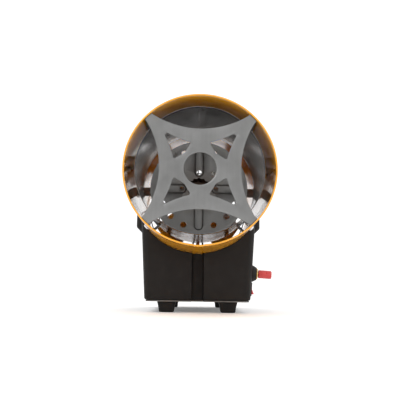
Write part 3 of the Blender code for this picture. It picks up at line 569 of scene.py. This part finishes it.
def baffle():
    low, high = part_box("front_baffle")
    sweep_r, sweep_c = 116.4 * MM, 169.4 * MM
    outline = []
    windows = []
    for quarter in range(4):
        for s in range(33):
            a = math.radians(-33.2 + 66.4 * s / 32)
            outline.append(rotated((sweep_r * math.sin(a), sweep_c - sweep_r * math.cos(a)), quarter))
        outline += [rotated((64.2 * MM, 73.1 * MM), quarter), rotated((73.1 * MM, 64.2 * MM), quarter)]
        side = []
        for s in range(12):
            a = math.radians(4.87 + 18.73 * s / 11)
            reach = (135.5 - 6.84 * s / 11) * MM
            side.append((reach * math.sin(a), sweep_c - reach * math.cos(a), 0))
        side[0] = (side[0][0], side[0][1], 2.2 * MM)
        side[-1] = (side[-1][0], side[-1][1], 2.6 * MM)
        mirrored = [(z, x, r) for x, z, r in reversed(side[:-1])]
        window = filleted(side + mirrored + [(20.2 * MM, 20.2 * MM, 5 * MM)], 7)
        windows.append([rotated(p, quarter) for p in window])
    centre = circle(0, 0, 21.4 * MM, 64)
    marks = [circle(0, 0, r * MM, 72) for r in (23.2, 25.5)]

    def bend(x, z):
        r = math.hypot(x, z)
        lip = 0.5 * MM * (1 - smoothstep((r - 21.4 * MM) / (3 * MM)))
        return lip + 0.35 * MM * math.sin(r / (30 * MM)) * math.cos(4 * math.atan2(x, z))

    plate = sheet(outline, [centre] + windows, low.y, low.y + 1.2 * MM, marks, bend)
    thickness = 1.26 * MM
    arms = []
    for k in range(4):
        turn = math.radians(45 + 90 * k)
        path = [(low.y, 93.5 * MM), (low.y, 94.8 * MM)]
        for s in range(1, 7):
            a = math.pi / 2 * s / 6
            path.append((low.y + 2.7 * MM * (1 - math.cos(a)), 94.8 * MM + 2.7 * MM * math.sin(a)))
        path += [(high.y - 3 * MM, 97.5 * MM), (high.y, 97.5 * MM)]
        loops = []
        for n, (y, r) in enumerate(path):
            before, after = path[max(n - 1, 0)], path[min(n + 1, len(path) - 1)]
            along = Vector((after[0] - before[0], after[1] - before[1])).normalized()
            across = Vector((along.y, -along.x)) * thickness
            half = 6.35 * MM - (2.2 * MM if n == len(path) - 1 else 0)
            far_y, far_r = y + across.x, r + across.y
            corners = [(-half, y, r), (half, y, r), (half, far_y, far_r), (-half, far_y, far_r)]
            spun = []
            for u, v, w in corners:
                x, z = u * math.cos(turn) + w * math.sin(turn), -u * math.sin(turn) + w * math.cos(turn)
                spun.append((AXIS_X + x, v, AXIS_Z + z))
            loops.append(spun)
        arms.append(lofted(loops))
    thing = piece("baffle", merged(plate, *arms), ["front_baffle"], BAFFLE, 30, CUT_EDGE)
    return softened(thing, 0.22 * MM, 2, 50, 35)


# Burner disc with pressed ribs
def burner():
    low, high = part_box("burner_disc")
    radius = (high.z - low.z) / 2
    rib_in, rib_out, half = 26.5 * MM, 57.3 * MM, 7.7 * MM
    scallop = []
    for k in range(96):
        a = 2 * math.pi * k / 96
        r = (17 + 0.9 * math.cos(14 * a)) * MM
        scallop.append((r * math.sin(a), r * math.cos(a)))
    holes = [scallop, circle(23 * MM, 24 * MM, 4.4 * MM), circle(-36.6 * MM, 54.5 * MM, 1.6 * MM, 12)]
    for k in range(16):
        a = math.radians(22.5 * k)
        if k % 4:
            holes.append(circle(61.1 * MM * math.sin(a), 61.1 * MM * math.cos(a), 4.7 * MM, 28))
    for k in range(4):
        slot = [(-1.3, 44, 1.2), (-1.3, 51, 1.2), (1.3, 51, 1.2), (1.3, 44, 1.2)]
        a = math.radians(45 + 90 * k)
        ring = filleted([(x * MM, z * MM, r * MM) for x, z, r in slot], 4)
        if k != 0:
            cos, sin = math.cos(a), math.sin(a)
            holes.append([(x * cos + z * sin, -x * sin + z * cos) for x, z in ring])
        holes.append([rotated(p, k) for p in circle(0, 26.5 * MM, 3.8 * MM, 28)])

    def rib_loop(reach):
        loop = []
        for s in range(13):
            a = math.pi * s / 12
            loop.append((-reach * math.cos(a), rib_out + reach * math.sin(a)))
        for s in range(13):
            a = math.pi * s / 12
            loop.append((reach * math.cos(a), rib_in - reach * math.sin(a)))
        return loop

    marks = [circle(0, 0, r * MM, 120) for r in (71.8, 73.0, 74.2)]
    for k in range(4):
        marks += [[rotated(p, k) for p in rib_loop(half - shrink * MM)] for shrink in (0, 0.8, 1.6, 2.4)]

    def bend(x, z):
        depth = 0.0
        for k in range(4):
            u, v = rotated((x, z), k)
            reach = math.hypot(u, v - min(max(v, rib_in), rib_out))
            depth = max(depth, 2.4 * MM * smoothstep((half - reach) / (2.4 * MM)))
        rim = -1.0 * MM * smoothstep((math.hypot(x, z) - 71.8 * MM) / (3 * MM))
        return depth + rim

    made = sheet(circle(0, 0, radius, 144), holes, low.y, low.y + 1.1 * MM, marks, bend)
    return piece("burner", made, ["burner_disc"], DISC, 38, CUT_EDGE)


# Rear guard: round wires welded into a dished grille
def guard():
    low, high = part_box("rear_guard")
    radius = (high.z - low.z) / 2
    wire = 1.15 * MM
    base_y, dish = low.y + wire, high.y - low.y - 2 * wire

    def at(r, a):
        y = base_y + dish * (1 - (r / radius) ** 2)
        return (AXIS_X + r * math.sin(a), y, AXIS_Z + r * math.cos(a))

    curve = bpy.data.curves.new("guard_wires", "CURVE")
    curve.dimensions = "3D"
    curve.bevel_depth = wire
    curve.bevel_resolution = 3
    rings = (13, 29.5, 46, 62.5, 79, 95.5)
    routes = [([at(r * MM, math.pi * k / 48) for k in range(96)], True) for r in rings]
    for k in range(8):
        routes.append(([at((11 + 85.5 * s / 14) * MM, k * math.pi / 4) for s in range(15)], False))
    for points, closed in routes:
        spline = curve.splines.new("POLY")
        spline.points.add(len(points) - 1)
        for spot, co in zip(spline.points, points):
            spot.co = (*co, 1)
        spline.use_cyclic_u = closed
    curve.use_fill_caps = True
    drawn = bpy.data.objects.new("guard_wires", curve)
    bpy.context.scene.collection.objects.link(drawn)
    mesh = bpy.data.meshes.new_from_object(drawn.evaluated_get(bpy.context.evaluated_depsgraph_get()))
    bpy.data.objects.remove(drawn)
    made = bmesh.new()
    made.from_mesh(mesh)
    cap_y = base_y + dish + wire - 2.4 * MM
    profile = [(0, 0), (0, 12), (1.4, 12.4), (2.4, 11), (2.4, 0)]
    profile = [(cap_y + y * MM, r * MM) for y, r in profile]
    return piece("guard", merged(made, turned(profile, 48)), ["rear_guard"], smooth=45)


# Screws: pan heads with a cross recess
def screws():
    names = ["baffle_screw_%d" % k for k in (1, 2, 3, 4)] + ["motor_screw_%d" % k for k in (1, 2, 3, 4)]
    names += ["crossbar_screw_1", "crossbar_screw_2", "handle_screw_front", "handle_screw_rear"]
    for name in names:
        low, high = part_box(name)
        middle = (low + high) / 2
        out = Vector((middle.x - AXIS_X, 0, middle.z - AXIS_Z)).normalized()
        inside = name.startswith("handle")
        seat = DRUM_R - WALL - 0.1 * MM if inside else DRUM_R + 0.15 * MM
        sign = -1 if inside else 1
        profile = [(-7 * MM, 0), (-7 * MM, 1.5 * MM), (0, 1.6 * MM), (0, 3.7 * MM), (0.25 * MM, 4 * MM)]
        for s in range(7):
            a = math.pi / 2 * s / 6
            profile.append(((0.5 + 1.7 * math.sin(a)) * MM, (1.2 + 2.8 * math.cos(a)) * MM))
        profile.append((2.2 * MM, 0))
        thing = helper(turned(profile, 32, at=(0, 0, 0)))
        for k in (0, 1):
            arm = [1.9 * MM, 0.42 * MM]
            x, z = arm[k], arm[1 - k]
            cut(thing, "DIFFERENCE", helper(block((-x, 1.2 * MM, -z), (x, 3 * MM, z))))
        turn = Vector((0, 1, 0)).rotation_difference(out * sign).to_matrix().to_4x4()
        thing.data.transform(Matrix.Translation(Vector((AXIS_X, middle.y, AXIS_Z)) + out * seat) @ turn)
        mesh = thing.data.copy()
        bpy.data.objects.remove(thing)
        piece(name + "_head", mesh, [name], smooth=40)


# Carry handle: domed top between two thin ribs
def handle():
    low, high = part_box("handle_grip")
    middle_y = (low.y + high.y) / 2
    base_z = AXIS_Z + DRUM_R - 3 * MM
    half = (high.x - low.x) / 2
    foot, grip = 21 * MM, 17 * MM
    corners = [
        (low.y, base_z, 0),
        (low.y + 8 * MM, high.z, 14 * MM),
        (high.y - 8 * MM, high.z, 14 * MM),
        (high.y, base_z, 0),
        (high.y - foot, base_z, 0),
        (high.y - foot - 3 * MM, high.z - grip, 8 * MM),
        (low.y + foot + 3 * MM, high.z - grip, 8 * MM),
        (low.y + foot, base_z, 0),
    ]
    arch = filleted(corners, 10)
    sections = [(-1, 2.0), (-0.97, 0.6), (-0.9, 0.05), (-0.8, 0.0), (-0.74, 0.25), (-0.7, 1.1), (-0.5, 0.75)]
    sections += [(-0.25, 0.6), (0, 0.55)]
    sections += [(-t, drop) for t, drop in reversed(sections[:-1])]
    core = [Vector(p) for p in arch]
    loops = []
    for t, drop in sections:
        loop = []
        for k, p in enumerate(core):
            along = (core[(k + 1) % len(core)] - core[k - 1]).normalized()
            inward = Vector((-along.y, along.x))
            if inward.dot(Vector((middle_y, high.z - grip / 2)) - p) < 0 and k < len(core) / 2:
                inward.negate()
            spot = p + inward * (drop * MM if k < len(core) / 2 else 0)
            if k >= len(core) / 2:
                edge = 1.6 * MM * max(0.0, abs(t) - 0.85) / 0.15
                inner_top = p.y > high.z - grip - 2 * MM
                away = Vector((0, 1)) if inner_top else Vector((math.copysign(1, p.x - middle_y), 0))
                spot = p + away * edge
            loop.append((AXIS_X + half * t, spot.x, spot.y))
        loops.append(loop)
    thing = piece("handle", lofted(loops), ["handle_grip"], smooth=40)
    seat = turned([(-0.3, 0), (-0.3, DRUM_R + 0.2 * MM), (0.3, DRUM_R + 0.2 * MM), (0.3, 0)], 160)
    cut(thing, "DIFFERENCE", helper(seat))
    thing.data.set_sharp_from_angle(angle=math.radians(40))
    return thing


# Base housing
def footprint(centre, half_x, front, rear, z, radius):
    corners = [(-half_x, front), (-half_x, rear), (half_x, rear), (half_x, front)]
    return [(centre + x, y, z) for x, y in filleted([(*c, radius) for c in corners], 8)]


def base():
    low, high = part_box("base_housing")
    cover_low, cover_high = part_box("base_cover")
    half_low = (cover_high.x - cover_low.x) / 2 + 2 * MM
    half_high = (high.x - low.x) / 2
    draft = math.tan(DRAFT)
    flare, collar = low.z + 101.6 * MM, low.z + 113.6 * MM

    def wall(z):
        return half_low + (z - low.z) * draft

    loops = []
    for z, shrink in ((0, 2.6), (0.5, 1.3), (1.4, 0.5), (2.8, 0.0), (119, 0), (119.7, 0)):
        level = low.z + z * MM
        inset = shrink * MM
        corner = 10 * MM - inset / 2
        loops.append(footprint(AXIS_X, wall(level) - inset, low.y + inset, high.y - inset, level, corner))
    body = piece("base", lofted(loops), ["base_housing"], smooth=40)
    loops = []
    for z, half_x, inset in (
        (flare, wall(flare), 0),
        (collar - 1.5 * MM, half_high - 1.2 * MM, 0),
        (collar + 0.8 * MM, half_high, 0),
        (high.z - 1.2 * MM, half_high, 0),
        (high.z, half_high - 1.0 * MM, 1.0 * MM),
    ):
        loops.append(footprint(AXIS_X, half_x, -30 * MM + inset, 150 * MM - inset, z, 8 * MM))
    seat_r = DRUM_R + 0.35 * MM
    seat = turned([(-0.3, 0), (-0.3, seat_r), (0.3, seat_r), (0.3, 0)], 160)
    channel = [(-9.8, -9), (-9.2, 0), (-8.8, 11), (-7.8, 12), (7.8, 12), (8.8, 11), (9.2, 0), (9.8, -9)]
    channel = lofted([[(AXIS_X + x * MM, low.y + y * MM, z) for x, y in channel] for z in (-0.01, 0.2)])
    cut(body, "UNION", helper(lofted(loops)))
    cut(body, "DIFFERENCE", helper(seat), helper(channel))
    inner_low = (AXIS_X - 70 * MM, low.y + 18 * MM, low.z - 5 * MM)
    inner = block(inner_low, (AXIS_X + 70 * MM, high.y - 6 * MM, 78 * MM))
    cut(body, "DIFFERENCE", helper(inner))
    bezel_low, bezel_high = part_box("valve_bezel")
    bore = on_wall(knob([(-20, 0), (-20, 8.6), (9, 8.6), (9, 0)]), (bezel_low.y + bezel_high.y) / 2, VALVE_Z)
    cut(body, "DIFFERENCE", helper(bore))
    return softened(body, 0.9 * MM, 3, 38, 40)


def feet():
    for k in range(4):
        node = "foot_%d" % (k + 1)
        low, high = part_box(node)
        x, y = (low.x + high.x) / 2, (low.y + high.y) / 2
        top = (high.x - low.x) / 2
        loops = []
        steps = [(0, -4.6), (0, -4.3), (0.4, -3.2), (1.4, -2.6), (6, -2.0), (11, -1.0)]
        steps += [(14.2, -0.1), (15.3, 0), (15.8, -0.4)]
        for z, inset in steps:
            half = top + inset * MM
            corners = [(-half, -half), (-half, half), (half, half), (half, -half)]
            ring = filleted([(*c, 4.5 * MM) for c in corners], 7)
            loops.append([(x + a, y + b, low.z + z * MM) for a, b in ring])
        loops[0] = [(x + (a - x) * 0.93, y + (b - y) * 0.93, c) for a, b, c in loops[0]]
        piece(node + "_pad", lofted(loops), [node], LOOKS["black_plastic"], 45)


# Controls on the leaning side wall
def on_wall(made, node_y, node_z):
    """Turns a piece built about the Y line through the origin so that it stands out of the right wall."""
    low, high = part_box("base_housing")
    cover_low, cover_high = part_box("base_cover")
    half = (cover_high.x - cover_low.x) / 2 + 2 * MM + (node_z - low.z) * math.tan(DRAFT)
    lean = Matrix.Rotation(DRAFT, 4, "Y")
    point = Matrix.Rotation(-math.pi / 2, 4, "Z")
    made.transform(Matrix.Translation((AXIS_X + half, node_y, node_z)) @ lean @ point)
    return made


def knob(points, segments=64, bulge=None):
    profile = [(y * MM, r * MM) for y, r in points]
    return turned(profile, segments, (0, 0, 0), bulge)


def controls():
    bezel_low, bezel_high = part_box("valve_bezel")
    valve_y = (bezel_low.y + bezel_high.y) / 2
    bezel = [(0.1, 9.0), (0.1, 12.6), (0.5, 13), (1.7, 13), (2.4, 12.6), (7.6, 9.9), (8, 9.6), (8, 9.0)]
    piece("bezel", on_wall(knob(bezel), valve_y, VALVE_Z), ["valve_bezel"], smooth=40)

    def hexagon(a, r, y):
        if r < 7.6 * MM:
            return r
        return min(r / math.cos((a + math.pi / 6) % (math.pi / 3) - math.pi / 6), 9.0 * MM)

    nut = [(5, 6.7), (5, 7.9), (5.5, 8.25), (9.0, 8.25), (9.5, 7.8), (9.6, 7.2), (9.6, 6.9), (9.4, 6.7)]
    piece("nut", on_wall(knob(nut, 72, hexagon), valve_y, VALVE_Z), ["valve_nut"], smooth=35)

    def flutes(a, r, y):
        if r < 4.5 * MM:
            return r
        return r - 0.34 * MM * (0.5 - 0.5 * math.cos(24 * a)) ** 2

    button_low, button_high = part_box("gas_button")
    tip = 11 + ((button_high.x - button_low.x) / MM - 0.76) / math.cos(DRAFT)
    button = [(11, 0), (11, 5.6), (11.4, 6.1), (12, 6.25)]
    button += [(tip - 1.8, 6.25), (tip - 0.9, 6.05), (tip - 0.3, 5.5)]
    button += [(tip, 4.7), (tip - 0.1, 4.2), (tip - 0.5, 3.8), (tip - 0.5, 0)]
    piece("gas_button_cap", on_wall(knob(button, 192, flutes), valve_y, VALVE_Z), ["gas_button"], smooth=45)
    piezo_low, piezo_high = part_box("piezo_body")
    piezo_y = (piezo_low.y + piezo_high.y) / 2
    ring = [(-32, 0), (-32, 7.4), (-31, 8), (0.2, 8), (0.2, 10.6), (0.6, 11), (2.2, 10.8), (3, 10.2)]
    ring += [(3, 5.9), (2.6, 5.6), (-12, 5.6), (-12, 0)]
    piece("piezo_socket", on_wall(knob(ring), piezo_y, VALVE_Z), ["piezo_body"], smooth=40)
    cap = [(-3.5, 0), (-3.5, 5.2), (7.8, 5.2), (8.6, 4.9), (9, 4.2), (8.8, 3.6), (8.5, 2.0), (8.4, 0)]
    piece("piezo_cap", on_wall(knob(cap), piezo_y, VALVE_Z), ["piezo_button"], smooth=40)


def carried():
    """What keeps its CAD shape, with rounded edges."""
    widths = {
        "switch_body": 0.45, "switch_rocker": 0.7, "base_cover": 0.5, "cable_gland": 0.5,
        "inlet_fitting": 0.45,
        "gas_nozzle": 0.4, "valve_body": 0.5, "motor_bracket": 0.3, "burner_crossbar": 0.3, "fan_hub": 0.8,
        "fan_blades": 0.25, "motor_housing": 0.8, "terminal_block": 0.5, "overheat_thermostat": 0.4,
        "thermocouple": 0.3, "passage_grommet": 0.5, "electrode_insulator": 0.3, "motor_shaft": 0.4,
        "valve_stem": 0.3, "electrode_rod": 0.3, "burner_cup": 0.3,
    }
    for k in (1, 2, 3, 4):
        widths["chamber_bracket_%d" % k] = 0.3
    for node, width in widths.items():
        refined(node, width * MM, {"burner_cup": SCORCHED, "burner_crossbar": LOOKS["sheet_steel"]}.get(node))
    leads = ["motor_lead", "switch_lead", "ignition_lead", "thermocouple_lead"]
    for node in ["gas_pipe", "inlet_pipe", "inner_cord"] + leads:
        refined(node, 0.15 * MM)


# Stage
def stage():
    floor_mesh = bpy.data.meshes.new("studio_floor")
    sweep = bmesh.new()
    path = [(-6.0, 0.0), (3.0, 0.0)]
    bends = [math.pi / 16 * k for k in range(1, 9)]
    path += [(3.0 + 1.5 * math.sin(a), 1.5 - 1.5 * math.cos(a)) for a in bends]
    path += [(4.5, 6.0)]
    rows = [[sweep.verts.new((x, y, FLOOR_Z + z - 0.0003)) for x in (-7, 7)] for y, z in path]
    for one, two in zip(rows, rows[1:]):
        sweep.faces.new((one[0], one[1], two[1], two[0]))
    sweep.to_mesh(floor_mesh)
    sweep.free()
    floor = bpy.data.objects.new("studio_floor", floor_mesh)
    bpy.context.scene.collection.objects.link(floor)
    g = Graph("studio_paper")
    colour = g.ramp(g.noise(3, 3), [(0.3, (0.93, 0.93, 0.93)), (0.7, (0.95, 0.95, 0.95))])
    roughness = g.between(g.noise(20, 3), 0.75, 0.85)
    g.finish(colour, roughness, Emission_Color=(1, 1, 1, 1), Emission_Strength=0.14)
    floor_mesh.materials.append(g.material)
    floor_mesh.shade_smooth()
    world = bpy.data.worlds.new("studio")
    bpy.context.scene.world = world
    world.use_nodes = True
    world.node_tree.nodes["Background"].inputs["Color"].default_value = (1, 1, 1, 1)
    world.node_tree.nodes["Background"].inputs["Strength"].default_value = 1.0

    def area(name, location, target, size, power):
        light = bpy.data.lights.new(name, "AREA")
        light.shape = "RECTANGLE"
        light.size, light.size_y = size
        light.energy = power
        lamp = bpy.data.objects.new(name, light)
        bpy.context.scene.collection.objects.link(lamp)
        lamp.location = location
        lamp.rotation_euler = (Vector(target) - Vector(location)).to_track_quat("-Z", "Y").to_euler()

    area("key", (-1.2, -1.6, 1.9), (0, 0, 0.15), (1.4, 1.4), 15)
    area("fill", (1.7, -1.2, 1.1), (0, 0, 0.15), (1.2, 1.6), 9)
    area("back", (0.3, 2.2, 1.8), (0, 0, 0.2), (2.0, 1.4), 14)
    bpy.context.scene.view_settings.view_transform = "Standard"


def camera():
    lens = bpy.data.cameras.new("camera")
    lens.lens = 46.8
    lens.sensor_width = 36
    lens.clip_start = 0.01
    eye = bpy.data.objects.new("camera", lens)
    bpy.context.scene.collection.objects.link(eye)
    pitch, yaw, roll = math.radians(9.38), math.radians(0.59), math.radians(0.78)
    tilt = Matrix.Rotation(math.pi / 2 + pitch, 3, "X") @ Matrix.Rotation(roll, 3, "Z")
    aim = Matrix.Rotation(-yaw, 3, "Z") @ tilt
    eye.rotation_euler = aim.to_euler()
    eye.location = (AXIS_X - 0.0063, FRONT_Y - 0.6505, 0.0399)
    bpy.context.scene.camera = eye


camera()
drum()
chamber()
baffle()
burner()
guard()
screws()
handle()
base()
feet()
controls()
carried()
stage()
bpy.context.view_layer.update()
